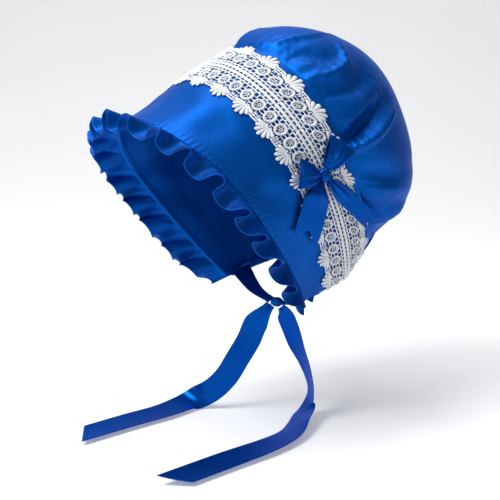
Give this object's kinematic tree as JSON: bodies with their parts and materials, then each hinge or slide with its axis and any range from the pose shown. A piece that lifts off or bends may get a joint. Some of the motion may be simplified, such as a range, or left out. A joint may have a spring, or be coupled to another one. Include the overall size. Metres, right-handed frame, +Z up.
{
  "type": "mob cap",
  "caption": "Satin mob cap with a flared brim, gathered crown, fluted face ruffle, lace band, ribbon bow and ribbon ties, in its worn pose.",
  "frame": {"origin": "the point where the top of the wearer's head touches the inside of the crown seam", "axes": "+Z up with the cap worn level, -Y the way the face looks, +X the wearer's left, where the bow sits"},
  "size_m": [0.2379, 0.3252, 0.3471],
  "materials": {
    "satin": "satin",
    "ribbon": "satin",
    "lace": "matt thread"
  },
  "bodies": {
    "root": {"brim": "satin", "lace_band": "lace", "crown": "satin", "brim_ruffle": "satin", "bow_knot": "ribbon", "bow_front_loop": "ribbon", "bow_back_loop": "ribbon", "bow_front_tail": "ribbon", "bow_back_tail": "ribbon", "tie_knot": "ribbon", "tie_right": "ribbon", "tie_left": "ribbon", "tie_right_tail": "ribbon", "tie_left_tail": "ribbon"}
  },
  "joints": []
}
